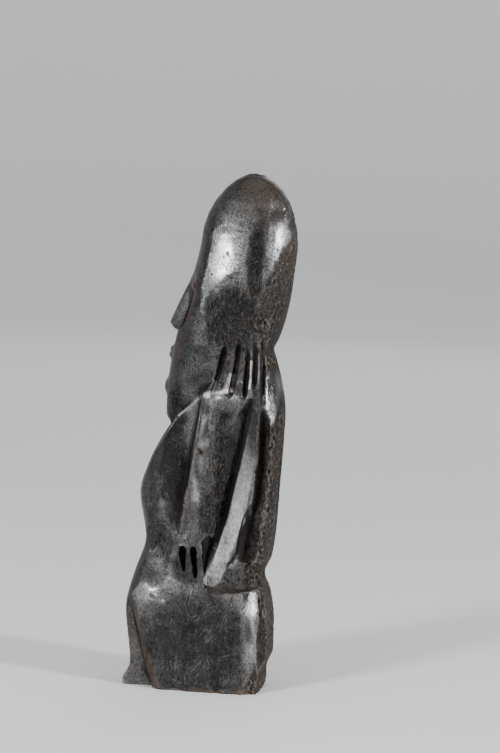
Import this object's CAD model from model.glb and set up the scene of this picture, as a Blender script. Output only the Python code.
# %% [markdown]
# # A small carved bone figure
#
# The object is one piece of dark, polished bone, about 100 mm tall: a seated figure with its
# knees drawn up, its arms along its sides and a tall, smooth head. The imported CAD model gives
# the form in flat facets. This lesson takes a fine copy of that form, wears it smooth the way
# hands do, adds the tool marks, pores and chips, and then gives it the look of old bone.

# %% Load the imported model
import math
from functools import partial
from itertools import product

import bmesh
import bpy
import numpy as np
from mathutils import Matrix, Vector


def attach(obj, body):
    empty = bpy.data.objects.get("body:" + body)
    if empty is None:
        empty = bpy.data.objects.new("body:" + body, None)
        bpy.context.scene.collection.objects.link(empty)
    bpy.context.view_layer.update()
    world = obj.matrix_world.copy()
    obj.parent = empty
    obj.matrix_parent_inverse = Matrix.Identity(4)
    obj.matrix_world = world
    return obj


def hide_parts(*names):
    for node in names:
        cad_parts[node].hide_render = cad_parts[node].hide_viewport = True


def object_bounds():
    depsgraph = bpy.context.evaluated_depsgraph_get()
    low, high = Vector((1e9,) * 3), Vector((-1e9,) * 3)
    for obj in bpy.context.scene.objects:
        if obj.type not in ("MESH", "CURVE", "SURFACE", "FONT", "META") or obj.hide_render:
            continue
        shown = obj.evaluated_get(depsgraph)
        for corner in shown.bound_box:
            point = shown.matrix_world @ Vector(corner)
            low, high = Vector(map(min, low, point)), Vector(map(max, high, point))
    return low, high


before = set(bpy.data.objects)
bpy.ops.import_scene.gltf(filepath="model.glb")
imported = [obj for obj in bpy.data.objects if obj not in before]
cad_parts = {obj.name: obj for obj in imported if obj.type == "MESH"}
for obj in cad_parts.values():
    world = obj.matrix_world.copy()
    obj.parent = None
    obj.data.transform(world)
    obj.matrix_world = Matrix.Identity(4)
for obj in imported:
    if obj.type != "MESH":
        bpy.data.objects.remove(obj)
cad_low, cad_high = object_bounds()
print("CAD box in mm:", [round(side * 1000, 2) for side in cad_high - cad_low])

# %% [markdown]
# ## The camera
#
# The photograph was taken with a long lens from the figure's left side, a little from above, and
# the camera leans slightly. A long lens far away keeps upright lines nearly parallel, so the
# distance matters as much as the angle. The camera is built from those angles, as three directions
# in a matrix, which is more exact than a tracking constraint.

# %% Camera at the photograph's angle
# angles in degrees
AZIMUTH, PITCH, ROLL = 97.0, 4.82, 2.6
CAMERA_PLACE = Vector((0.58452, 0.07858, 0.11037))
SENSOR_HEIGHT = 24.0
FOCAL_LENGTH = 97.37


def direction(azimuth, elevation):
    """The direction from the figure towards an azimuth and an elevation in degrees."""
    azimuth, elevation = math.radians(azimuth), math.radians(elevation)
    level = math.cos(elevation)
    return np.array([math.sin(azimuth) * level, -math.cos(azimuth) * level, math.sin(elevation)])


def put(name, data):
    """A new object with that data, in the scene."""
    thing = bpy.data.objects.new(name, data)
    bpy.context.scene.collection.objects.link(thing)
    return thing


backward = Vector(direction(AZIMUTH, PITCH))
level_right = (-backward).cross(Vector((0, 0, 1))).normalized()
level_up = level_right.cross(-backward)
lean = math.radians(ROLL)
right = level_right * math.cos(lean) + level_up * math.sin(lean)
up = level_up * math.cos(lean) - level_right * math.sin(lean)
lens = bpy.data.cameras.new("Camera")
lens.sensor_fit = "VERTICAL"
lens.sensor_height = SENSOR_HEIGHT
lens.lens = FOCAL_LENGTH
lens.clip_start = 0.01
camera = put("Camera", lens)
turned = Matrix((right, up, backward)).transposed().to_4x4()
camera.matrix_world = Matrix.Translation(CAMERA_PLACE) @ turned
bpy.context.scene.camera = camera
print("camera distance in mm:", round(CAMERA_PLACE.length * 1000))

# %% [markdown]
# ## A fine skin over the form
#
# The CAD solid has long, flat facets, which is right for a solid but not for a worn carving. A
# voxel remesh lays an even skin of small squares over it, so that every place has points enough
# to be worn and marked. Everything from here on is in millimetres, because the marks are that
# size, and the mesh goes back to metres at the end.

# %% Fine copy of the solid, in millimetres
MM = 0.001
# size of the small squares, and how near points have to be to be joined, in mm
VOXEL = 0.23
WELD = 0.001


def modified(thing):
    """The mesh that the thing's modifiers make of it. The thing itself goes."""
    bpy.context.view_layer.update()
    graph = bpy.context.evaluated_depsgraph_get()
    made = bpy.data.meshes.new_from_object(
        thing.evaluated_get(graph), preserve_all_data_layers=True, depsgraph=graph
    )
    bpy.data.objects.remove(thing)
    return made


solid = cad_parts["carved_bone_figure"]
mesh = solid.data.copy()
mesh.transform(Matrix.Scale(1 / MM, 4) @ solid.matrix_world)
work = bmesh.new()
work.from_mesh(mesh)
bmesh.ops.remove_doubles(work, verts=work.verts, dist=WELD)
work.to_mesh(mesh)
work.free()
blank = put("fine_blank", mesh)
skin = blank.modifiers.new("Fine skin", "REMESH")
skin.mode = "VOXEL"
skin.voxel_size = VOXEL
fine = modified(blank)
fine.calc_loop_triangles()
points = np.empty(len(fine.vertices) * 3)
fine.vertices.foreach_get("co", points)
points = points.reshape(-1, 3)
triangles = np.empty(len(fine.loop_triangles) * 3, np.int32)
fine.loop_triangles.foreach_get("vertices", triangles)
triangles = triangles.reshape(-1, 3)
bpy.data.meshes.remove(mesh)
bpy.data.meshes.remove(fine)
print("fine skin:", len(points), "points,", len(triangles), "triangles")

# %% [markdown]
# ## Worn surfaces that keep their arrises
#
# Handling rounds the small facets away but leaves the crests where two cuts meet. Plain smoothing
# would soften both. So the directions of the triangles are averaged first, and a neighbour
# counts only as far as it faces a similar way. Then the points are moved to fit those directions.
# Facets melt together, and an arris stays.

# %% Wear that keeps the arrises
EVEN_ROUNDS = 34
FIT_ROUNDS = 22
ARRIS_TURN = 0.30


def unit(vectors):
    """The same directions, each with a length of 1."""
    return vectors / np.maximum(np.linalg.norm(vectors, axis=1, keepdims=True), 1e-12)


def gathered(index, values, count):
    """The sum of the rows of values that share an index."""
    return np.stack([np.bincount(index, values[:, k], count) for k in range(3)], axis=1)


def facing_of(points, triangles):
    """Each triangle's direction, with its length as twice the area."""
    a, b, c = (points[triangles[:, k]] for k in range(3))
    return np.cross(b - a, c - a)


def sides_of(triangles):
    """The two points of each side of each triangle."""
    return np.concatenate([triangles[:, [0, 1]], triangles[:, [1, 2]], triangles[:, [2, 0]]])


def neighbours(triangles):
    """Pairs of triangles that share an edge."""
    ends = sides_of(triangles)
    owner = np.tile(np.arange(len(triangles)), 3)
    key = ends.min(axis=1).astype(np.int64) * (ends.max() + 1) + ends.max(axis=1)
    order = np.argsort(key, kind="stable")
    same = key[order][1:] == key[order][:-1]
    return owner[order][:-1][same], owner[order][1:][same]


def point_normals(points, triangles):
    """The direction that the skin faces at each point."""
    facing = facing_of(points, triangles)
    return unit(sum(gathered(triangles[:, k], facing, len(points)) for k in range(3)))


def worn(points, triangles):
    """The points moved to fit triangle directions that were averaged with similar ones."""
    first, second = neighbours(triangles)
    facing = facing_of(points, triangles)
    area = np.linalg.norm(facing, axis=1, keepdims=True)
    normals = unit(facing)
    count = len(triangles)
    for _ in range(EVEN_ROUNDS):
        gap = ((normals[first] - normals[second]) ** 2).sum(axis=1, keepdims=True)
        weight = np.exp(-gap / (2 * ARRIS_TURN**2))
        total = normals * area
        total += gathered(first, weight * area[second] * normals[second], count)
        total += gathered(second, weight * area[first] * normals[first], count)
        normals = unit(total)
    share = np.maximum(np.bincount(triangles.ravel(), minlength=len(points)), 1)[:, None]
    for _ in range(FIT_ROUNDS):
        middle = points[triangles].mean(axis=1)
        move = np.zeros_like(points)
        for k in range(3):
            off = ((middle - points[triangles[:, k]]) * normals).sum(axis=1, keepdims=True)
            move += gathered(triangles[:, k], off * normals, len(points))
        points = points + move / share
    return points


blank_points = points
points = worn(points, triangles)
print("wear moved a point by up to", round(float(np.abs(points - blank_points).max()), 2), "mm")

# %% [markdown]
# ## Noise to break things up
#
# Nothing made by hand is even. Two kinds of noise do all the breaking up below. The first is a
# smooth one, from random values on a grid that are blended in between. The second measures the
# distance to randomly scattered seeds, which is how pits and pores lie. Both come from a fixed
# sum on the grid's numbers, so each run gives the same figure.

# %% Smooth noise and scattered seeds
def grid_value(cell, seed):
    """A fixed random value from 0 to 1 for each cell of a grid."""
    mixed = (cell @ np.array([374761393, 668265263, 2147483647]) + seed * 144665) & 0xFFFFFFFF
    mixed = ((mixed ^ (mixed >> 13)) * 1274126177) & 0xFFFFFFFF
    mixed = ((mixed ^ (mixed >> 16)) * 974634777) & 0xFFFFFFFF
    return (mixed ^ (mixed >> 15)) / 0xFFFFFFFF


def cloudy(places, size, seed):
    """Smooth noise from -1 to 1. size is in mm, one number or one for each direction."""
    spot = places / np.asarray(size, float)
    cell = np.floor(spot).astype(np.int64)
    part = spot - cell
    fade = part * part * (3 - 2 * part)
    total = np.zeros(len(places))
    for corner in product((0, 1), repeat=3):
        weight = np.prod(np.where(np.array(corner) == 1, fade, 1 - fade), axis=1)
        total += weight * grid_value(cell + np.array(corner), seed)
    return total * 2 - 1


def seed_distance(places, size, seed):
    """How far each place is from the nearest of the scattered seeds, as a share of size."""
    spot = places / np.asarray(size, float)
    cell = np.floor(spot).astype(np.int64)
    nearest = np.full(len(places), 9.0)
    for step in product((-1, 0, 1), repeat=3):
        home = cell + np.array(step)
        seat = np.stack([grid_value(home, seed + k) for k in range(3)], axis=1)
        nearest = np.minimum(nearest, ((home + seat - spot) ** 2).sum(axis=1))
    return np.sqrt(nearest)


def ramp(value, low, high):
    """0 below low, 1 above high, and smooth between. low may be the larger one."""
    share = np.clip((value - low) / (high - low), 0, 1)
    return share * share * (3 - 2 * share)


print("noise from", cloudy(points, 5.0, 1).min().round(2), "to", cloudy(points, 5.0, 1).max().round(2))

# %% [markdown]
# ## Polished facets
#
# The carver worked the bone with a file and finished it on flat faces, which is why the lamps
# show as clear patches on the head. A flat face can't be laid on a round head in one plane
# without leaving a step at its ends, so each level is filed by itself: what stands out past a
# very gentle curve is pushed back onto it, and the depth fades in and out along the height.

# %% Facets on the head, the shoulder, the chest and the legs
# the marks' places are measured from a line this many mm in front of the origin
DEPTH_MIDDLE = 0.15
LEVEL_STEP = 0.5
FACET_FADE = 3.5
# a level's outermost points lie within this many mm of its furthest one
TOP_BAND = 0.15
# lower than any reach on the figure, in mm
NO_REACH = -99.0
# name, azimuth that it faces, lowest and highest level in mm, fade at the low end, depth,
# roundness in mm, and how much deeper it gets with each mm of height
FACETS = (
    ("side of the head", 79, 70.0, 91.0, 9.0, 0.42, 24, 0.0),
    ("back of the head", 124, 82.0, 96.5, 3.5, 0.34, 16, 0.0),
    ("shoulder behind the flutes", 125, 50.0, 64.0, 4.5, 0.50, 24, 0.0),
    ("side of the chest", 60, 33.0, 57.0, 3.5, 0.75, 60, 0.0),
    ("back edge of the legs", 124, 5.0, 21.5, 6.0, 0.05, 16, 0.05),
)


def filed(points, side, azimuth, low, high, low_fade, depth, roundness, lean):
    """The levels from low to high pushed back on one side, onto a gentle curve facing azimuth."""
    facing = direction(azimuth, 0)[:2] * (side, 1)
    out = points[:, :2] @ facing
    aside = points[:, :2] @ (-facing[1], facing[0])
    inside = (points[:, 2] > low) & (points[:, 2] < high)
    bins = int((high - low) / LEVEL_STEP)
    bin_of = np.clip((points[inside, 2] - low) / LEVEL_STEP, 0, bins - 1).astype(int)
    reach = np.full(bins, NO_REACH)
    np.maximum.at(reach, bin_of, out[inside])
    top = out[inside] > reach[bin_of] - TOP_BAND
    top_count = np.bincount(bin_of[top], minlength=bins)
    middle = np.bincount(bin_of[top], aside[inside][top], bins) / top_count
    centres = low + (np.arange(bins) + 0.5) * LEVEL_STEP
    even = np.polynomial.Polynomial.fit
    reach_at = even(centres, reach, 3)(points[:, 2])
    middle_at = even(centres, middle, 2)(points[:, 2])
    fade = ramp(points[:, 2], low, low + low_fade) * ramp(points[:, 2], high, high - FACET_FADE)
    depth_at = (depth + lean * (points[:, 2] - low)) * fade
    over = out - reach_at + depth_at + (aside - middle_at) ** 2 / (2 * roundness)
    push = np.where(inside, np.clip(over, 0, None) * ramp(fade, 0.0, 0.1), 0.0)
    return points - push[:, None] * np.append(facing, 0.0)


points[:, 1] += DEPTH_MIDDLE
for name, *facet in FACETS:
    before = points
    for side in (1, -1):
        points = filed(points, side, *facet)
    print(name, "filed up to", round(float(np.abs(points - before).max()), 2), "mm deep")

# %% [markdown]
# ## Soft transitions
#
# Where the hollow behind the arm runs out on the ledge, the knife has blended one into the other.
# The side of the chest and the knee were rounded over, and the thigh was scraped to a slope.
# Moving each point to the middle of its neighbours many times softens a place, and a mask keeps
# the softening within an oval on the side of the figure.

# %% Soften the hollow's foot, the chest and the knee, and slope the thigh
# ovals on the side of the figure: middle (Y, Z) and half sizes in mm
HOLLOW_FOOT = ((7.2, 22.6), (5.8, 2.9))
CHEST = ((-7.2, 45.0), (3.2, 13.0))
KNEE = ((-7.4, 19.4), (4.6, 3.0))
THIGH = ((-8.8, 25.0), (3.8, 6.0))
SOFTEN_ROUNDS = 80
THIGH_DEPTH = 0.7


def smoothed(points, edges, rounds):
    """The points after rounds of moving each one to the middle of its neighbours."""
    start, end = edges.T
    share = np.bincount(edges.ravel(), minlength=len(points))
    for _ in range(rounds):
        total = gathered(start, points[end], len(points)) + gathered(end, points[start], len(points))
        points = total / share[:, None]
    return points


def oval(points, middle, half_sizes):
    """How far out each point is from an oval's middle on the side, with 1 on its edge."""
    y, z = ((points[:, 1:] - middle) / half_sizes).T
    return np.hypot(y, z)


edges = np.unique(np.sort(sides_of(triangles), axis=1), axis=0)
soft = np.max([ramp(oval(points, *spot), 1.1, 0.65) for spot in (HOLLOW_FOOT, CHEST, KNEE)], axis=0)
soft *= ramp(np.abs(points[:, 0]), 2.5, 4.0)
points = points + (smoothed(points, edges, SOFTEN_ROUNDS) - points) * soft[:, None]
scrape = THIGH_DEPTH * ramp(oval(points, *THIGH), 1.0, 0.2) * ramp(np.abs(points[:, 0]), 3.0, 5.0)
points = points - scrape[:, None] * point_normals(points, triangles)
print("softened points:", int((soft > 0.1).sum()), "scraped points:", int((scrape > 0.1).sum()))

# %% [markdown]
# ## Flutes, file marks and the arm's ridge
#
# The CAD solid has the flutes at the nape and the slits between the fingers as plain V cuts. A
# graver leaves a thin, deep bottom in them. Finer lines lie around them: hatching at the jaw, file
# marks across the lower chest and a wrinkle on the arm. Each is a line on the side of the
# figure, given as (Y, Z) in mm, with its width and depth. The ridge down the front of the arm is
# the other way round: it stays, because the bone on both sides of it is taken away.

# %% Graver lines and the arm's ridge
FLUTE_LINES = (
    ((3.0, 67.4), (0.5, 56.6)),
    ((5.6, 68.2), (4.3, 56.9)),
    ((7.2, 67.6), (7.2, 56.6)),
    ((8.5, 68.8), (9.0, 57.4)),
    ((9.9, 69.4), (10.7, 55.0)),
)
FLUTE_WIDTH, FLUTE_DEPTH = 0.5, 0.50
WRINKLE = ((-0.9, 47.5), (2.6, 47.0))
WRINKLE_WIDTH, WRINKLE_DEPTH = 0.45, 0.18
# rows of short lines, as where each starts and how far it runs, and their width and depth
JAW_HATCHING = [((-1.6 + 0.62 * i, 62.5 + 0.25 * i), (2.2, 4.6)) for i in range(9)], 0.32, 0.20
FILE_MARKS = [((-8.9 + 0.25 * (i % 3), 34.6 - 0.62 * i), (2.9, 0.5)) for i in range(8)], 0.26, 0.07
# the arm's ridge, and the reach to each side, depth and raggedness of the cut beside it
ARM_RIDGE = ((-0.3, 56.6), (-4.4, 29.0))
RIDGE_REACH, RIDGE_DEPTH, RIDGE_RAGGED = 1.6, 0.20, 0.06


def line_place(points, start, end):
    """Each point's signed distance from a line on the side, and its share of the way along it."""
    start, end = np.array(start), np.array(end)
    along = end - start
    share = np.clip(((points[:, 1:] - start) @ along) / (along @ along), 0, 1)
    away = points[:, 1:] - start - share[:, None] * along
    return np.linalg.norm(away, axis=1) * np.sign(away @ (-along[1], along[0])), share


def within(share, fade):
    """1 along a line and 0 at its ends, where share is the part of the way along it."""
    return ramp(4 * share * (1 - share), 0, fade)


def sideways(normals):
    """1 on faces that look to the sides and 0 on those that look ahead, back, up or down."""
    return ramp(np.abs(normals[:, 0]), 0.15, 0.4)


def line_depth(points, start, end, width, depth):
    """How deep a V line cuts at each point."""
    apart, share = line_place(points, start, end)
    return depth * np.clip(1 - np.abs(apart) / width, 0, 1) * within(share, 0.6)


normals = point_normals(points, triangles)
cut = line_depth(points, *WRINKLE, WRINKLE_WIDTH, WRINKLE_DEPTH)
for start, end in FLUTE_LINES:
    cut = np.maximum(cut, line_depth(points, start, end, FLUTE_WIDTH, FLUTE_DEPTH))
for row, width, depth in (JAW_HATCHING, FILE_MARKS):
    for start, run in row:
        end = (start[0] + run[0], start[1] + run[1])
        cut = np.maximum(cut, line_depth(points, start, end, width, depth))
apart, share = line_place(points, *ARM_RIDGE)
apart = np.abs(apart + RIDGE_RAGGED * (cloudy(points, 0.8, 81) + cloudy(points, 0.4, 82)))
beside = ramp(apart, 0.05, 0.35 * RIDGE_REACH) * ramp(apart, RIDGE_REACH, 0.5 * RIDGE_REACH)
cut += RIDGE_DEPTH * beside * within(share, 0.3)
cut *= sideways(normals)
print("lines cut up to", round(float(cut.max()), 2), "mm deep")

# %% [markdown]
# ## Slots between the fingers
#
# The fingers were parted by deep slots that taper downwards, and the last one opens to a dark
# wedge beside the flat bar. Dividing the distance from a slot's middle line by its half width at
# that height gives 1 all along its border, and noise then makes the border ragged.

# %% Slots and the wedge
# slots between the fingers: upper end, lower end and half width at each of them
SLOTS = (
    ((-3.75, 27.3), (-3.20, 23.4), 0.82, 0.15),
    ((-1.70, 27.6), (-0.85, 22.2), 0.68, 0.18),
)
SLOT_DEPTH = 1.2
# the dark wedge between the last finger and the bar
WEDGE = ((1.55, 28.4), (1.35, 20.6))
WEDGE_HALF_WIDTHS = (1.6, 0.25)
WEDGE_DEPTH = 0.9
# the flat bar, as points along its middle line
BAR_LINE = ((9.3, 58.0), (8.3, 45.0), (6.4, 33.6), (2.4, 22.0))


def bar_distance(points):
    """How far each point is from the middle of the flat bar."""
    parts = zip(BAR_LINE, BAR_LINE[1:])
    return np.min([np.abs(line_place(points, *part)[0]) for part in parts], axis=0)


slot_reach = np.full(len(points), 9.0)
for start, end, top_half, foot_half in SLOTS:
    apart, share = line_place(points, start, end)
    half = top_half + (foot_half - top_half) * share
    slot_reach = np.minimum(slot_reach, (np.abs(apart) + 0.22 * cloudy(points, 0.9, 83)) / half)
slot_reach += 0.16 * cloudy(points, 0.4, 84)
cut += SLOT_DEPTH * ramp(slot_reach, 1.0, 0.25) * sideways(normals)
bar_reach = bar_distance(points)
apart, share = line_place(points, *WEDGE)
top_half, foot_half = WEDGE_HALF_WIDTHS
wedge_half = top_half + (foot_half - top_half) * share
wedge = ramp(np.abs(apart) + 0.2 * cloudy(points, 0.9, 85), wedge_half, 0.7 * wedge_half)
wedge *= ramp(bar_reach, 1.5, 1.9)
cut += WEDGE_DEPTH * wedge * ramp(np.abs(normals[:, 0]), 0.5, 0.8)
points = points - cut[:, None] * normals
print("marks on", int((cut > 0.02).sum()), "points")

# %% [markdown]
# ## The outer shell and the spongy core
#
# A long bone is dense outside and spongy within. The carver left the spongy side at the
# figure's back, so pores and small pits cover it, and the hollow behind the arm was never
# finished. A mask says where each kind of bone lies: near the back of each level it is spongy,
# and noise makes the border ragged.

# %% Where the bone is spongy, and its pits
TOP_LEVEL = 100
level = np.clip(points[:, 2].astype(int), 0, TOP_LEVEL)
back_edge = np.full(TOP_LEVEL + 1, NO_REACH)
np.maximum.at(back_edge, level, points[:, 1])
back_edge = np.interp(points[:, 2], np.arange(TOP_LEVEL + 1) + 0.5, back_edge)
behind = points[:, 1] - back_edge
ragged = 0.9 * cloudy(points, 2.6, 11) + 0.5 * cloudy(points, 0.9, 12)
SPONGY_LEVELS = (0, 6, 18, 26, 50, 62, 67, 73, 80, 84, 87, 90, 100)
SPONGY_WIDTHS = (2.0, 2.4, 3.2, 3.6, 2.8, 1.4, 3.2, 5.0, 4.6, 2.8, 1.2, 0.6, 0.3)
strip = np.interp(points[:, 2], SPONGY_LEVELS, SPONGY_WIDTHS)
spongy = ramp(behind + strip + ragged, -0.5, 0.7)
# the hollow behind the arm, as a row of like ovals
HOLLOW_MIDDLES = ((10.6, 50.0), (10.4, 42.0), (9.6, 33.0), (8.8, 26.0))
HOLLOW_HALF_SIZES = (1.6, 4.8)
for spot in HOLLOW_MIDDLES:
    spongy = np.maximum(spongy, 0.8 * ramp(oval(points, spot, HOLLOW_HALF_SIZES), 1.0, 0.45))
# polished facets within the spongy strip: middle (Y, Z) and half sizes in mm
POLISHED_SPOTS = (((11.8, 57.2), (1.8, 5.4)), ((10.3, 14.5), (1.3, 6.5)))
for spot in POLISHED_SPOTS:
    spongy *= ramp(oval(points, *spot) + 0.2 * ragged, 0.9, 1.15)

WIDE_PIT_DEPTH = 0.50
FINE_PIT_DEPTH = 0.22
SPARSE_PIT_DEPTH = 0.10
wide_pits = ramp(seed_distance(points, (0.9, 0.9, 1.7), 21), 0.40, 0.16)
fine_pits = ramp(seed_distance(points, (0.6, 0.6, 0.9), 31), 0.40, 0.15)
wide_pits *= ramp(cloudy(points, 2.0, 43), 0.0, 0.5)
rough = cloudy(points, 0.5, 41) * 0.13 + cloudy(points, (1.2, 1.2, 2.4), 42) * 0.14
pitting = spongy * (WIDE_PIT_DEPTH * wide_pits + FINE_PIT_DEPTH * fine_pits)
sparse = ramp(seed_distance(points, (2.6, 2.6, 3.2), 51), 0.11, 0.05)
sparse *= SPARSE_PIT_DEPTH * (1 - spongy)
normals = point_normals(points, triangles)
points = points - (pitting + sparse - spongy * np.minimum(rough, 0))[:, None] * normals
print("spongy share of the skin:", round(float(spongy.mean()), 2))

# %% [markdown]
# ## Rough patches in the polish
#
# Polish only reaches what a hand or a cloth can rub. The arm between its ridge and the groove,
# the side of the jaw, the nape and the places around the hand stayed rougher, with small torn
# pits along the grain. These patches are ovals on the side of the figure with ragged borders,
# and the pits in them are seeds stretched along the height. The lower bar has wider pits.

# %% Rough patches
# ovals on the side: middle (Y, Z) and half sizes in mm
ROUGH_PATCHES = (
    ((1.6, 43.0), (3.2, 14.5)),
    ((4.4, 71.8), (6.4, 7.4)),
    ((4.5, 63.5), (5.0, 3.0)),
    ((9.0, 22.5), (5.0, 2.6)),
    ((-9.0, 29.0), (4.2, 2.4)),
)
TORN_PIT_DEPTH = 0.26
TORN_GRAIN_DEPTH = 0.16
BAR_PIT_DEPTH = 0.30

torn = np.zeros(len(points))
for patch in ROUGH_PATCHES:
    torn = np.maximum(torn, ramp(oval(points, *patch) + 0.35 * ragged, 1.15, 0.75))
normals = point_normals(points, triangles)
torn *= sideways(normals)
torn_pits = ramp(seed_distance(points, (0.8, 0.8, 1.4), 91), 0.36, 0.14)
bar_pits = ramp(bar_reach, 1.3, 1.0) * ramp(points[:, 2], 42.0, 36.0) * sideways(normals)
bar_pits *= ramp(seed_distance(points, (1.5, 1.5, 2.2), 93), 0.22, 0.12)
torn_grain = np.abs(cloudy(points, (0.45, 0.45, 1.3), 92))
torn_depth = BAR_PIT_DEPTH * bar_pits
torn_depth += torn * (TORN_PIT_DEPTH * torn_pits + TORN_GRAIN_DEPTH * torn_grain)
points = points - torn_depth[:, None] * normals
print("rough share of the skin:", round(float(torn.mean()), 2))

# %% [markdown]
# ## Uneven cutting, chips and a splintered foot
#
# The dense bone was scraped by hand, so its faces roll a little. Along the bottom the edges are
# chipped, and the fibres of the bone have split at the back corner. The rolling is slow noise, the
# chips are noise that only bites near the bottom edge, and the splinters are noise stretched
# along the height.

# %% Rolling faces, chips and splinters
SLOW_ROLL, QUICK_ROLL = 0.06, 0.025
CHIP_DEPTH = 0.45
SPLINTER_DEPTH = 0.30

normals = point_normals(smoothed(points, edges, 25), triangles)
rolling = SLOW_ROLL * cloudy(points, (5.0, 4.0, 7.0), 61)
rolling += QUICK_ROLL * cloudy(points, (1.6, 1.3, 2.4), 62)
bottom = ramp(points[:, 2], 1.5, 0.1) * ramp(normals[:, 2], -0.98, -0.6)
bites = cloudy(points, 1.3, 63) + 0.5 * cloudy(points, 0.5, 64)
chips = CHIP_DEPTH * bottom * ramp(bites, 0.05, 0.6)
corner = ramp(points[:, 2], 5.5, 1.0) * ramp(points[:, 1], 6.0, 9.5)
fibres = np.abs(cloudy(points, (0.55, 0.55, 4.0), 65))
splinter = SPLINTER_DEPTH * corner * ramp(fibres, 0.1, 0.6)
on_sole = ramp(normals[:, 2], -0.9, -0.97) * (points[:, 2] < 0.3)
lowered = (np.abs(rolling) + chips + splinter) * (1 - on_sole)
points = points - lowered[:, None] * normals
print("deepest chip:", round(float(chips.max()), 2), "mm")

# %% [markdown]
# ## Measuring hollows and crests
#
# Old polish gathers dark in the hollows and rubs through to pale bone on the crests. To colour
# them, the figure has to know where they are. If a smoothed copy of the skin lies outside the
# real one, the place is a hollow, and if it lies inside, the place is a crest. A short smoothing
# finds fine edges, and a long one finds deep cuts.

# %% Hollow and crest masks
normals = point_normals(points, triangles)
short = smoothed(points, edges, 6)
long = smoothed(short, edges, 60)
fine_relief = ((short - points) * normals).sum(axis=1)
deep_relief = ((long - short) * normals).sum(axis=1)
masks = {
    "hollow": np.clip(ramp(deep_relief, 0.03, 0.45) + 0.6 * ramp(fine_relief, 0.02, 0.10), 0, 1),
    "crest": np.clip(0.7 * ramp(-deep_relief, 0.10, 0.50) + ramp(-fine_relief, 0.02, 0.07), 0, 1),
    "spongy": spongy,
}
print("fine relief", fine_relief.min().round(3), fine_relief.max().round(3))
print("deep relief", deep_relief.min().round(2), deep_relief.max().round(2))

# %% [markdown]
# ## Raw bone and stains
#
# More masks follow the places on this figure. The shins and the feet are raw, pale bone where
# the polish has gone. The bottom edges and the chamfer beside the shins are rubbed through to
# brown. The crown of the head, the arm's ridge and the ledge are a warmer brown, and a reddish
# stain runs down the front of the head's side.

# %% Raw bone, rubbed edges, warm brown and red stain
# where the legs' front wall lies (Y) at some levels, in mm
SHIN_LEVELS = (0.0, 3.4, 17.5)
SHIN_WALLS = (-8.5, -9.6, -13.6)
LEDGE_LEVEL = 20.0
STAIN_LINE = ((-3.4, 81.5), (-6.6, 64.0))

y, z, out = points[:, 1], points[:, 2], np.abs(points[:, 0])
away = cloudy(points, 1.5, 71) * 0.8 + cloudy(points, 0.6, 72) * 0.4
before_wall = np.interp(z, SHIN_LEVELS, SHIN_WALLS) - y
shin = ramp(before_wall + 0.3 * away, 0.0, 0.5) * ramp(out, 2.6, 3.6) * ramp(z + 2 * away, 15.0, 10.0)
feet = ramp(before_wall, 0.0, 0.5) * ramp(z + away, 4.5, 3.0)
masks["raw"] = np.maximum(shin, feet)
low_edge = ramp(z + 0.9 * away, 0.6, 0.0) * ramp(normals[:, 2], -0.98, -0.6)
band = ramp(np.abs(before_wall + 0.8), 1.0, 0.6) * ramp(out, 6.4, 7.2) * ramp(z + away, 17.0, 14.0)
masks["edge"] = np.clip(low_edge + 0.7 * band * ramp(away, -0.7, 0.2) + 0.2 * corner, 0, 1)
crown = ramp(z + 2.5 * away, 87.0, 97.0) * ramp(y + 2 * away, 1.0, 8.0)
ridge_apart = np.abs(line_place(points, *ARM_RIDGE)[0])
ridge = ramp(ridge_apart + 0.4 * away, 0.7, 0.2) * sideways(normals)
ledge = ramp(np.abs(z - LEDGE_LEVEL) + 0.5 * away, 1.6, 0.6) * ramp(y, 1.5, 3.0)
warm = 0.9 * crown + 0.7 * ridge + 0.6 * ledge + 0.5 * torn * ramp(away, 0.1, 0.6)
masks["warm"] = np.clip(warm, 0, 1)
stain_apart = np.abs(line_place(points, *STAIN_LINE)[0])
masks["stain"] = ramp(stain_apart + 0.9 * away, 1.1, 0.2) * sideways(normals)
print("raw share of the skin:", round(float(masks["raw"].mean()), 3))

# %% [markdown]
# ## Where the polish is dull, bright or rubbed through
#
# Polish isn't even. Inner faces stayed dull, the facets that a hand rests on shine, and the bar
# behind the arm is scraped to matt grey bone, lighter towards its foot. On the crests of the
# shoulder, the knee and the back edge the patina is rubbed through. Ovals and lines on the side
# give the places, and noise makes each border ragged.

# %% Dull, polished, matt and rubbed places
# ovals that stayed dull: middle (Y, Z) and half sizes in mm, and a strength
DULL_SPOTS = (
    ((-6.4, 45.0), (3.2, 13.0), 1.0),
    ((7.9, 83.0), (1.8, 10.0), 1.0),
    ((4.4, 71.8), (6.4, 7.0), 0.9),
    ((-2.0, 24.5), (4.6, 3.6), 0.9),
    ((3.7, 42.0), (2.2, 14.5), 1.0),
    ((1.3, 34.5), (2.2, 5.0), 0.8),
    ((9.4, 52.5), (1.7, 7.5), 1.0),
    ((-9.4, 44.0), (2.2, 9.0), 0.6),
    ((-0.6, 9.0), (11.0, 11.5), 0.80),
    ((-8.6, 32.0), (2.4, 4.0), 0.6),
    ((-4.0, 68.0), (4.0, 8.0), 0.5),
)
# a leaf of polish behind the flutes, with a dull border
LEAF = ((11.75, 57.0), (1.6, 5.2))
GLOSSY_SPOTS = POLISHED_SPOTS + (
    ((1.2, 84.0), (3.6, 5.5)),
    ((11.6, 90.0), (1.8, 6.5)),
    ((-1.2, 38.6), (0.9, 2.6)),
    ((2.2, 58.8), (5.6, 2.2)),
    ((-8.6, 18.6), (1.9, 1.5)),
    ((-3.0, 75.0), (1.6, 3.0)),
)
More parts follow.
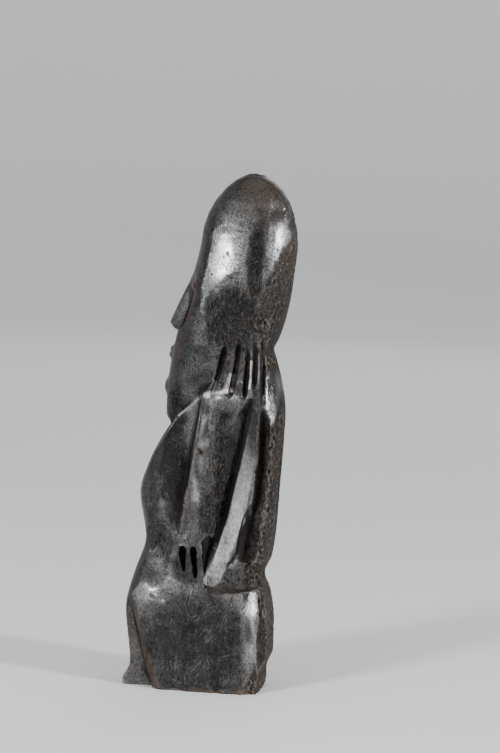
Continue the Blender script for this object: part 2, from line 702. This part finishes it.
# rubbed crests: start, end, half width in mm and strength
RUBBED_LINES = (
    ((-1.3, 57.2), (4.8, 58.7), 0.75, 0.62),
    ((4.3, 61.8), (3.5, 58.6), 0.95, 0.36),
    ((0.9, 60.2), (1.1, 57.8), 0.8, 0.22),
    ((7.9, 64.5), (8.0, 58.8), 0.3, 0.8),
    ((-1.2, 57.2), (-6.2, 52.5), 0.26, 0.45),
    ((-6.2, 52.5), (-10.4, 45.8), 0.24, 0.32),
    ((-4.3, 28.1), (-2.6, 28.5), 0.28, 0.4),
    ((-2.0, 41.2), (-1.5, 36.6), 0.9, 0.24),
    ((-10.6, 20.4), (-6.6, 16.9), 0.48, 0.50),
    ((9.4, 18.6), (11.2, 10.8), 0.5, 0.28),
    ((11.1, 11.4), (11.8, 4.5), 0.3, 0.2),
)
# how matt the bar is at some levels
BAR_LEVELS = (22.0, 26.0, 37.0, 43.0, 48.0, 58.0)
BAR_TONES = (0.7, 1.0, 0.84, 0.36, 0.10, 0.0)
ARM_COLUMN = ((0.3, 56.5), (-1.9, 37.0))

bar_tone = np.interp(z, BAR_LEVELS, BAR_TONES)
fine_tone = 0.20 * cloudy(points, (1.1, 1.1, 3.2), 74) + 0.24 * cloudy(points, (0.4, 0.4, 0.9), 75)
bar_tone *= (0.82 + fine_tone) * (1.0 + 0.16 * cloudy(points, (1.8, 1.8, 0.22), 76))
bar = ramp(bar_distance(points) + 0.2 * away, 1.7, 1.25) * bar_tone
column_apart = np.abs(line_place(points, *ARM_COLUMN)[0])
column = ramp(column_apart + 0.9 * away, 1.8, 0.3) * ramp(cloudy(points, (0.8, 0.8, 1.6), 73), -0.5, 0.5)
masks["torn"] = torn
masks["flank"] = ramp(np.abs(normals[:, 0]), 0.35, 0.75)
masks["matt"] = np.maximum(bar, 0.42 * column) * sideways(normals)
dull = [strength * ramp(oval(points, *spot) + 0.3 * away, 1.3, 0.6) for *spot, strength in DULL_SPOTS]
around_leaf = ramp(oval(points, *LEAF), 0.85, 1.1) * ramp(oval(points, *POLISHED_SPOTS[0]), 1.5, 1.2)
masks["dull"] = np.max(dull + [0.85 * around_leaf], axis=0)
polished = [ramp(oval(points, *spot) + 0.25 * away, 1.3, 0.4) for spot in GLOSSY_SPOTS]
masks["polished"] = np.max(polished, axis=0) * (1 - spongy)
rubbed = np.zeros(len(points))
for start, end, width, strength in RUBBED_LINES:
    apart, share = line_place(points, start, end)
    line = ramp(np.abs(apart) + 0.5 * width * away, width, 0.2 * width)
    rubbed = np.maximum(rubbed, strength * line * within(share, 0.2))
masks["rubbed"] = rubbed * ramp(np.abs(normals[:, 0]), 0.25, 0.5)
graven = np.maximum(ramp(slot_reach, 1.1, 0.7), ramp(wedge, 0.0, 0.15))
masks["hollow"] = np.maximum(masks["hollow"], graven)
print({name: round(float(mask.mean()), 3) for name, mask in masks.items()})

# %% [markdown]
# ## The finished piece
#
# The skin now has more triangles than its flatter places need. Blender's Decimate removes the
# ones that matter least, and the masks ride along as attributes of the points. The piece then
# takes the CAD node's place.

# %% Build the piece
MOST_TRIANGLES = 192000
PIECE = "worn_bone_figure"

low, high = np.array([cad_low, cad_high]) / MM + (0, DEPTH_MIDDLE, 0)
points = np.clip(points, low, high)
mesh = bpy.data.meshes.new(PIECE)
mesh.from_pydata((points - (0, DEPTH_MIDDLE, 0)) * MM, [], triangles)
for name, values in masks.items():
    attribute = mesh.attributes.new(name, "FLOAT", "POINT")
    attribute.data.foreach_set("value", values.astype(np.float32))
heavy = put("heavy_skin", mesh)
lighten = heavy.modifiers.new("Lighten", "DECIMATE")
lighten.ratio = min(1.0, MOST_TRIANGLES / len(triangles))
light = modified(heavy)
light.shade_smooth()
light.name = PIECE
figure = put(PIECE, light)
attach(figure, "root")
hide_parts("carved_bone_figure")
print(figure.name, len(figure.data.polygons), "triangles,", [a.name for a in figure.data.attributes])

# %% [markdown]
# ## Material helpers
#
# Shader nodes are wired by small helpers, so that each group below reads like a recipe. They
# all work on the node tree that is being built, which is kept in the name tree. Textures are
# laid in millimetres of the object itself, so they hold still from every side.

# %% Node helpers
FLOAT = "NodeSocketFloat"
COLOR = "NodeSocketColor"


def connect(socket, value):
    """A link to the socket, or a plain value on it."""
    if isinstance(value, bpy.types.NodeSocket):
        tree.links.new(value, socket)
    else:
        socket.default_value = value


def add_node(kind, settings=None, **inputs):
    """A node with settings on itself and its inputs set by name, or by number as i0, i1."""
    node = tree.nodes.new(kind)
    for key, value in (settings or {}).items():
        setattr(node, key, value)
    for key, value in inputs.items():
        numbered = key[0] == "i" and key[1:].isdigit()
        connect(node.inputs[int(key[1:]) if numbered else key.replace("_", " ")], value)
    return node


def sums(operation, a, b=0.0, clamp=False):
    settings = {"operation": operation, "use_clamp": clamp}
    return add_node("ShaderNodeMath", settings, i0=a, i1=b).outputs[0]


scaled = partial(sums, "MULTIPLY")
added = partial(sums, "ADD")
less = partial(sums, "SUBTRACT")
larger = partial(sums, "MAXIMUM")


def blend(share, a, b):
    """Colour a where share is 0 and b where it is 1."""
    return add_node("ShaderNodeMix", {"data_type": "RGBA"}, i0=share, i6=a, i7=b).outputs[2]


def levels(value, low, high, to_low=0.0, to_high=1.0, curve="SMOOTHSTEP"):
    """The value stretched so that low becomes to_low and high becomes to_high."""
    node = add_node(
        "ShaderNodeMapRange", {"interpolation_type": curve},
        Value=value, From_Min=low, From_Max=high, To_Min=to_low, To_Max=to_high,
    )
    return node.outputs["Result"]


def in_mm(tall=1.0):
    """The object's own coordinates in mm. A tall above 1 draws a texture out along the height."""
    place = add_node("ShaderNodeTexCoord").outputs["Object"]
    scale = (1 / MM, 1 / MM, 1 / (MM * tall))
    return add_node("ShaderNodeMapping", Vector=place, Scale=scale).outputs[0]


def noise_at(place, size, detail, rough):
    """Noise from 0 to 1 with spots of about that size in mm."""
    node = add_node("ShaderNodeTexNoise", Vector=place, Scale=1 / size, Detail=detail, Roughness=rough)
    return node.outputs["Fac"]


def speckle(size, tall, detail, rough):
    return noise_at(in_mm(tall), size, detail, rough)


def new_group(name, inputs, outputs):
    """A node group with named inputs {name: default} and outputs {name: kind}."""
    group = bpy.data.node_groups.new(name, "ShaderNodeTree")
    for label, value in inputs.items():
        kind = COLOR if isinstance(value, tuple) else FLOAT
        group.interface.new_socket(label, in_out="INPUT", socket_type=kind).default_value = value
    for label, kind in outputs.items():
        group.interface.new_socket(label, in_out="OUTPUT", socket_type=kind)
    entry = group.nodes.new("NodeGroupInput")
    leave = group.nodes.new("NodeGroupOutput")
    return group, entry.outputs, leave.inputs


def place_group(group, **inputs):
    node = tree.nodes.new("ShaderNodeGroup")
    node.node_tree = group
    for label, value in inputs.items():
        connect(node.inputs[label], value)
    return node.outputs


print("helpers ready")

# %% [markdown]
# ## Fine scratches
#
# Dense bone that was scraped, filed and handled for long is covered in hair-thin scratches that
# run every way. A Voronoi texture parts the surface into patches, and its random colour turns each
# patch by its own angle. Noise stretched along that angle and cut to thin lines gives the
# scratches, and the distance to the patch's middle fades them out. Three sizes lie over each other.

# %% Scratch group
# patch size, line spacing in mm, and shift that keeps the layers apart
SCRATCH_LAYERS = ((3.1, 0.34, 0.0), (1.9, 0.26, 31.7), (4.6, 0.46, 67.1))
SCRATCH_STRETCH = 14.0

tree, given, made = new_group(
    "Fine scratches", {"Amount": 0.5, "Width": 0.12}, {"Height": FLOAT, "Mask": FLOAT}
)
scratch_group = tree
place = in_mm()
lines = 0.0
for patch_size, spacing, shift in SCRATCH_LAYERS:
    moved = add_node(
        "ShaderNodeVectorMath", {"operation": "ADD"}, i0=place, i1=(shift, shift, shift)
    ).outputs[0]
    patch = add_node("ShaderNodeTexVoronoi", Vector=moved, Scale=1 / patch_size)
    hue = add_node("ShaderNodeSeparateColor", Color=patch.outputs["Color"])
    angle = scaled(hue.outputs[0], math.tau)
    turned = add_node(
        "ShaderNodeVectorRotate", {"rotation_type": "X_AXIS"}, Vector=moved, Angle=angle
    ).outputs[0]
    drawn = add_node(
        "ShaderNodeVectorMath", {"operation": "MULTIPLY"}, i0=turned, i1=(1, 1, 1 / SCRATCH_STRETCH)
    ).outputs[0]
    off = sums("ABSOLUTE", less(noise_at(drawn, spacing, 1.0, 0.5), 0.5))
    line = sums("SUBTRACT", 1.0, sums("DIVIDE", off, given["Width"]), clamp=True)
    line = scaled(line, levels(patch.outputs["Distance"], 0.62, 0.30))
    line = scaled(line, levels(hue.outputs[1], 0.25, 0.6))
    lines = larger(lines, line)
lines = scaled(lines, given["Amount"], clamp=True)
connect(made["Mask"], lines)
connect(made["Height"], scaled(lines, -1.0))
print("scratch group:", len(tree.nodes), "nodes")

# %% [markdown]
# ## Pores
#
# Fine pores are the open ends of the bone's canals. Seen close they are small dark pits,
# longer along the bone than across it. A Voronoi texture gives scattered cells, and only the
# middle of each cell is kept.

# %% Pore group
tree, given, made = new_group(
    "Open pores", {"Size": 0.5, "Open": 0.25}, {"Height": FLOAT, "Mask": FLOAT}
)
pore_group = tree
place = in_mm(1.8)
bend = add_node("ShaderNodeTexNoise", Vector=place, Scale=1.3, Detail=2.0).outputs["Color"]
place = add_node("ShaderNodeMix", {"data_type": "VECTOR"}, i0=0.12, i4=place, i5=bend).outputs[1]
scale = sums("DIVIDE", 1.0, given["Size"])
cell = add_node("ShaderNodeTexVoronoi", Vector=place, Scale=scale).outputs["Distance"]
pit = levels(cell, given["Open"], 0.0)
connect(made["Mask"], pit)
connect(made["Height"], scaled(pit, -1.0))
print("pore group:", len(tree.nodes), "nodes")

# %% [markdown]
# ## Patina
#
# The dark skin of old bone is layers of smoke, oil and handling. It is near black where it
# lies thick, brown where it is thin, and gone on the crests. The group mixes those tones by the
# hollow and crest masks, broken up by noise at two sizes. Its roughness follows the same noise, so
# that a lamp's reflection breaks up where the polish does.

# %% Patina group
DEEP_HOLLOW = (0.005, 0.0035, 0.003, 1.0)
OPEN_PORE = (0.004, 0.003, 0.0025, 1.0)

tree, given, made = new_group(
    "Old patina",
    {
        "Hollow": 0.0, "Crest": 0.0, "Scratch": 0.0, "Pore": 0.0,
        "Wear": 0.5, "Fleck": 0.7, "Smooth": 0.26, "Rough": 0.42,
        "Dark": (0.0014, 0.0013, 0.0014, 1.0), "Middle": (0.0125, 0.0121, 0.0128, 1.0),
        "Brown": (0.021, 0.0145, 0.0100, 1.0), "Worn": (0.052, 0.045, 0.039, 1.0),
        "Line": (0.13, 0.125, 0.12, 1.0),
    },
    {"Color": COLOR, "Roughness": FLOAT},
)
patina_group = tree
slow = speckle(5.5, 1.7, 4.0, 0.6)
quick = speckle(0.60, 1.4, 6.0, 0.85)
brown = speckle(2.4, 1.3, 6.0, 0.75)
tone = added(scaled(slow, 0.35), scaled(quick, 0.65))
color = blend(levels(tone, 0.43, 0.60), given["Dark"], given["Middle"])
flecks = levels(speckle(0.36, 1.4, 4.0, 0.85), 0.55, 0.68)
color = blend(scaled(flecks, given["Fleck"]), color, given["Worn"])
color = blend(levels(brown, 0.52, 0.70, 0.0, 0.55), color, given["Brown"])
ragged_crest = added(given["Crest"], scaled(less(quick, 0.5), 2.2))
bare = scaled(levels(ragged_crest, 0.55, 1.15), given["Wear"], clamp=True)
color = blend(bare, color, given["Worn"])
color = blend(scaled(given["Scratch"], 0.6), color, given["Line"])
deep = levels(added(given["Hollow"], scaled(quick, 0.25)), 0.20, 0.95)
color = blend(scaled(deep, 0.8), color, DEEP_HOLLOW)
color = blend(scaled(given["Pore"], 0.85), color, OPEN_PORE)
connect(made["Color"], color)
gloss = levels(tone, 0.40, 0.62, given["Smooth"], given["Rough"], curve="LINEAR")
gloss = added(gloss, scaled(deep, 0.30))
gloss = added(gloss, scaled(given["Scratch"], 0.10))
gloss = added(gloss, scaled(given["Pore"], 0.2), clamp=True)
connect(made["Roughness"], gloss)
print("patina group:", len(tree.nodes), "nodes")

# %% [markdown]
# ## Shell, core and pale bone
#
# One material covers the piece, because the polished shell fades into the spongy core and the
# raw feet with no seam. The same patina is laid three times: dark and scratched on the shell,
# browner and full of pores on the core, and pale on the raw shins. Scratches and flecks are
# fewer on faces that look ahead or back.

# %% The three kinds of bone
bone = bpy.data.materials.new("worn_dark_bone")
bone.use_nodes = True
tree = bone.node_tree
shader = tree.nodes["Principled BSDF"]
mask = {
    name: add_node("ShaderNodeAttribute", {"attribute_name": name}).outputs["Fac"] for name in masks
}
marked = levels(mask["flank"], 0.0, 1.0, 0.25, 1.0)
scratch = place_group(scratch_group, Amount=marked, Width=0.026)
shell_pores = place_group(pore_group, Size=1.1, Open=0.15)
core_pores = place_group(pore_group, Size=0.60, Open=0.46)
shell = place_group(
    patina_group, Hollow=mask["hollow"], Crest=mask["crest"], Scratch=scratch["Mask"],
    Pore=shell_pores["Mask"], Wear=0.35, Fleck=scaled(marked, 0.7),
)
core = place_group(
    patina_group, Hollow=mask["hollow"], Crest=mask["crest"],
    Pore=core_pores["Mask"], Wear=0.55,
    Dark=(0.003, 0.0026, 0.0023, 1.0), Middle=(0.026, 0.0215, 0.0175, 1.0), Worn=(0.100, 0.086, 0.072, 1.0),
)
pale = place_group(
    patina_group, Hollow=scaled(mask["hollow"], 0.6), Crest=mask["crest"],
    Scratch=scratch["Mask"], Pore=core_pores["Mask"], Wear=0.6,
    Dark=(0.018, 0.016, 0.0145, 1.0), Middle=(0.058, 0.054, 0.051, 1.0), Worn=(0.12, 0.106, 0.090, 1.0),
)
print("kinds of bone laid, with", len(mask), "masks")

# %% [markdown]
# ## Colour, layer by layer
#
# Wear and stains lie over the patina in an order: brown and red first, then torn fibres and the
# scraped bar, then the other two kinds of bone, and last what is rubbed through. Each layer is a
# mask, broken up by its own noise, and a colour.

# %% Layers of colour
WARM_BROWN = (0.026, 0.0175, 0.0110, 1.0)
RED_STAIN = (0.030, 0.011, 0.007, 1.0)
DULL_BLACK = (0.0020, 0.0019, 0.0020, 1.0)
TORN_LIGHT = (0.090, 0.080, 0.070, 1.0)
TORN_DARK = (0.0022, 0.0019, 0.0017, 1.0)
SCRAPED_GREY = (0.27, 0.266, 0.27, 1.0)
EDGE_BROWN = (0.052, 0.030, 0.016, 1.0)
RUBBED_BONE = (0.42, 0.405, 0.39, 1.0)

broken = levels(speckle(0.7, 1.0, 6.0, 0.8), 0.40, 0.60, 0.35, 1.0)
scraped = levels(speckle(0.40, 1.6, 5.0, 0.8), 0.34, 0.62, 0.30, 1.0)
flecks = levels(speckle(0.45, 1.7, 5.0, 0.85), 0.54, 0.66)
gaps = levels(speckle(0.65, 1.9, 5.0, 0.85), 0.50, 0.40)
dither = scaled(less(speckle(0.34, 1.5, 5.0, 0.9), 0.5), 1.5)
cover = levels(added(mask["rubbed"], dither), 0.15, 0.75)
cover = scaled(cover, levels(mask["rubbed"], 0.02, 0.2))
cover = larger(cover, scaled(mask["rubbed"], 0.5))
layers = (
    (scaled(mask["warm"], broken), WARM_BROWN),
    (scaled(mask["stain"], 0.45), RED_STAIN),
    (scaled(mask["dull"], 0.38), DULL_BLACK),
    (scaled(mask["torn"], scaled(flecks, 0.8)), TORN_LIGHT),
    (scaled(mask["torn"], scaled(gaps, 0.75)), TORN_DARK),
    (scaled(mask["matt"], scraped), SCRAPED_GREY),
    (mask["spongy"], core["Color"]),
    (mask["raw"], pale["Color"]),
    (scaled(mask["edge"], broken), EDGE_BROWN),
    (cover, RUBBED_BONE),
)
color = shell["Color"]
for share, paint in layers:
    color = blend(share, color, paint)
connect(shader.inputs["Base Color"], color)
print("layers of colour:", len(layers))

# %% [markdown]
# ## Polish and sheen
#
# A hand's polish makes bone smooth, while spongy, torn and scraped places scatter the light. So
# the roughness starts from the patina's and grows with each of those masks. The sheen is weaker
# in dull places, and a fine noise makes it sparkle the way a worn polish does.

# %% Roughness and sheen
ROUGHER = {"spongy": 0.28, "torn": 0.14, "dull": 0.20, "matt": 0.12, "edge": 0.25, "raw": 0.22}
DULLER = {"torn": 0.4, "hollow": 0.8, "dull": 0.85, "spongy": 0.6}
BONE_IOR = 1.54
EVEN_SHEEN = 0.30

roughness = scaled(shell["Roughness"], less(1.0, scaled(mask["polished"], 0.66)))
for name, more in ROUGHER.items():
    roughness = added(roughness, scaled(mask[name], more), clamp=True)
connect(shader.inputs["Roughness"], roughness)
shader.inputs["IOR"].default_value = BONE_IOR
shader.inputs["Specular IOR Level"].default_value = EVEN_SHEEN
dull = 0.0
for name, share in DULLER.items():
    dull = larger(dull, scaled(mask[name], share))
sheen = levels(dull, 0.0, 1.0, 0.42, 0.04)
sparkle = levels(speckle(0.30, 1.5, 4.0, 0.85), 0.38, 0.62, -0.50, 0.65)
sparkle = added(scaled(sparkle, marked), 0.80)
sparkle = larger(sparkle, scaled(mask["polished"], 1.15))
connect(shader.inputs["Specular IOR Level"], scaled(sheen, sparkle))
print("rougher places:", ", ".join(ROUGHER))

# %% [markdown]
# ## Relief too fine for the mesh
#
# Scratches, pores and grain are finer than the skin's triangles. One bump adds them up, each as
# a depth in millimetres: hardly any on polished places, and most where the bone is torn or
# spongy.

# %% Bump
SCRATCH_DEPTH = 0.012
PORE_DEPTH = 0.07
CORE_DEPTH = 0.20
GRAIN_DEPTH = 0.060
POLISHED_GRAIN_DEPTH = 0.042
ROUGH_GRAIN_DEPTH = 0.26

bare_bone = larger(mask["spongy"], scaled(mask["torn"], 0.85))
bare_bone = larger(bare_bone, scaled(mask["raw"], 0.6))
grain_depth = less(GRAIN_DEPTH, scaled(mask["polished"], POLISHED_GRAIN_DEPTH))
grain_depth = added(grain_depth, scaled(bare_bone, ROUGH_GRAIN_DEPTH))
height = scaled(speckle(0.42, 1.7, 6.0, 0.78), grain_depth)
height = added(height, scaled(scratch["Height"], SCRATCH_DEPTH))
height = added(height, scaled(shell_pores["Height"], PORE_DEPTH))
core_height = scaled(scaled(core_pores["Height"], mask["spongy"]), CORE_DEPTH)
height = added(height, core_height)
bump = add_node("ShaderNodeBump", Strength=1.0, Distance=MM, Height=height)
connect(shader.inputs["Normal"], bump.outputs[0])
figure.data.materials.append(bone)
print("bone material:", len(tree.nodes), "nodes")

# %% [markdown]
# ## Floor
#
# A plain pale bowl serves as floor and backdrop from every side. It is turned from one profile,
# flat in the middle and curved up into a wall, so that no edge of it shows.

# %% Pale floor
INNER_RADIUS = 0.25
FLAT_RADIUS = 1.0
BEND_RADIUS = 0.5
BEND_STEPS = 12
WALL_HEIGHT = 1.6
FLOOR_SIDES = 96
PAPER_COLOR = (0.74, 0.735, 0.73, 1.0)
PAPER_ROUGHNESS = 0.85

profile = [(INNER_RADIUS, 0.0), (FLAT_RADIUS, 0.0)]
for i in range(1, BEND_STEPS + 1):
    turn = math.pi / 2 * i / BEND_STEPS
    profile.append((FLAT_RADIUS + BEND_RADIUS * math.sin(turn), BEND_RADIUS * (1 - math.cos(turn))))
profile.append((FLAT_RADIUS + BEND_RADIUS, WALL_HEIGHT))
work = bmesh.new()
rings = [[work.verts.new((0, 0, 0))]]
angles = [math.tau * i / FLOOR_SIDES for i in range(FLOOR_SIDES)]
for radius, height in profile:
    rings.append([work.verts.new((radius * math.cos(a), radius * math.sin(a), height)) for a in angles])
for i in range(FLOOR_SIDES):
    j = (i + 1) % FLOOR_SIDES
    work.faces.new((rings[0][0], rings[1][i], rings[1][j]))
    for inner, outer in zip(rings[1:], rings[2:]):
        work.faces.new((inner[i], outer[i], outer[j], inner[j]))
floor_mesh = bpy.data.meshes.new("floor")
work.to_mesh(floor_mesh)
work.free()
floor_mesh.shade_smooth()
floor = put("floor", floor_mesh)
paper = bpy.data.materials.new("pale_paper")
paper.use_nodes = True
paper_shader = paper.node_tree.nodes["Principled BSDF"]
paper_shader.inputs["Base Color"].default_value = PAPER_COLOR
paper_shader.inputs["Roughness"].default_value = PAPER_ROUGHNESS
floor_mesh.materials.append(paper)
print("floor radius:", FLAT_RADIUS + BEND_RADIUS, "m")

# %% [markdown]
# ## Lamps
#
# The photograph's highlights tell where its lamps were: a square soft box to the left of the
# camera and above it, and a narrow one far to its right. Area lights of the same shapes stand in
# the same places, with a large, weak one above and another behind to lift the shadows.

# %% Soft boxes
AIM = Vector((0.0, 0.0, 0.055))
# azimuth and elevation in degrees, distance, width and height in metres, watts and tint
LAMPS = {
    "key": (61, 13, 0.8, 0.14, 0.14, 9.0, (0.95, 0.97, 1.0)),
    "strip": (151, 8, 0.8, 0.10, 0.32, 13.0, (0.97, 0.98, 1.0)),
    "top": (97, 75, 1.6, 1.4, 1.4, 7.0, (1.0, 1.0, 1.0)),
    "far_fill": (265, 30, 1.0, 0.6, 0.6, 2.0, (1.0, 1.0, 1.0)),
}
SKY_COLOR = (0.8, 0.86, 1.0, 1.0)
SKY_STRENGTH = 0.22

for name, (azimuth, elevation, distance, width, height, watts, tint) in LAMPS.items():
    light = bpy.data.lights.new(name, "AREA")
    light.shape = "RECTANGLE"
    light.size, light.size_y = width, height
    light.energy = watts
    light.color = tint
    lamp = put(name, light)
    towards = Vector(direction(azimuth, elevation))
    lamp.location = AIM + towards * distance
    lamp.rotation_euler = towards.to_track_quat("Z", "Y").to_euler()
    lamp.visible_camera = False
world = bpy.data.worlds.new("Studio")
world.use_nodes = True
sky = world.node_tree.nodes["Background"]
sky.inputs["Color"].default_value = SKY_COLOR
sky.inputs["Strength"].default_value = SKY_STRENGTH
bpy.context.scene.world = world
print("lamps:", ", ".join(LAMPS))
